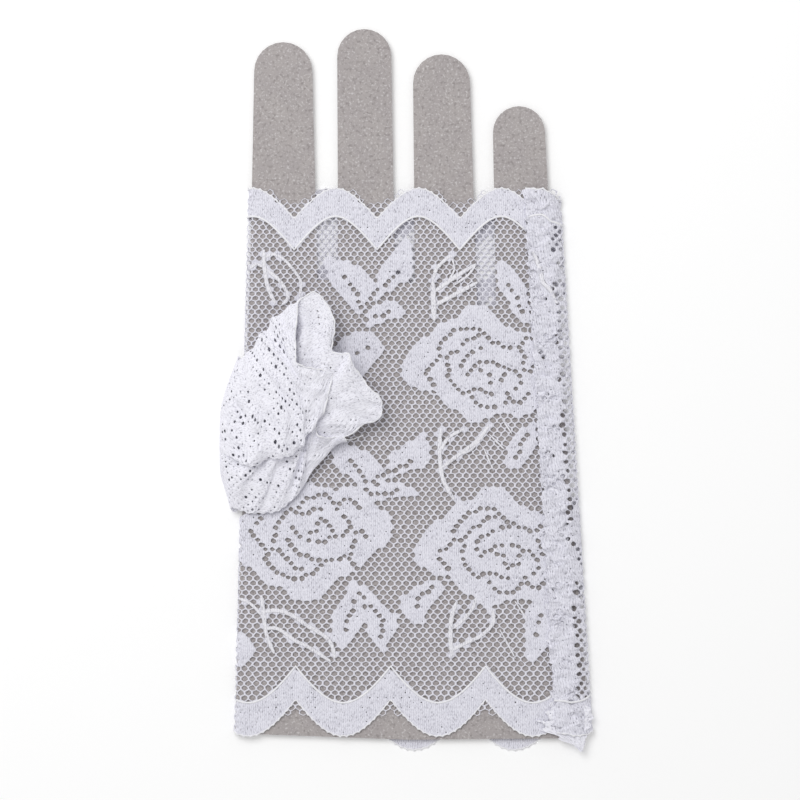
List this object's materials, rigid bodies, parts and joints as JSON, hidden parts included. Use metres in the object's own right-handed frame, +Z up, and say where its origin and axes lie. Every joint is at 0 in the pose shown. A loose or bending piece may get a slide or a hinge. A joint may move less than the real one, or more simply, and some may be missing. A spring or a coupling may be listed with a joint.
{
  "type": "fingerless lace glove",
  "caption": "Fingerless lace wedding glove with scalloped edges and a folded thumb sleeve, flat on a chipboard display hand.",
  "frame": {"origin": "centre of the whole object's box in X and Y, on the surface that the palm side rests on", "axes": "+Y towards the fingertips, -X towards the thumb side, +Z up out of the back of the hand"},
  "size_m": [0.12, 0.2312, 0.0137],
  "materials": {
    "card": "uncoated recycled greyboard",
    "lace": "warp-knitted nylon lace, slightly lustrous",
    "thread": "fluffy textured nylon sewing thread",
    "edge_cord": "bright nylon outline cord"
  },
  "bodies": {
    "glove": {"lace_back_of_hand": "lace", "lace_palm": "lace", "lace_side_return": "lace", "side_seam_allowance": "lace", "side_seam_overlock": "thread", "finger_edge_cord": "edge_cord", "wrist_edge_cord": "edge_cord", "thumb_hole_seam": "thread"},
    "card": {"card_insert": "card"},
    "thumb": {"thumb_sleeve": "lace", "thumb_sleeve_seam": "thread", "thumb_hem_cord": "edge_cord"}
  },
  "joints": [
    {"name": "card_slide", "type": "slide", "parent": "glove", "child": "card", "axis": [0, -1, 0], "range_m": [0, 0.235]},
    {"name": "thumb_fold", "type": "hinge", "parent": "glove", "child": "thumb", "pos_m": [-0.058, 0, 0.0046], "axis": [0, -1, 0], "range_deg": [0, 110]}
  ]
}
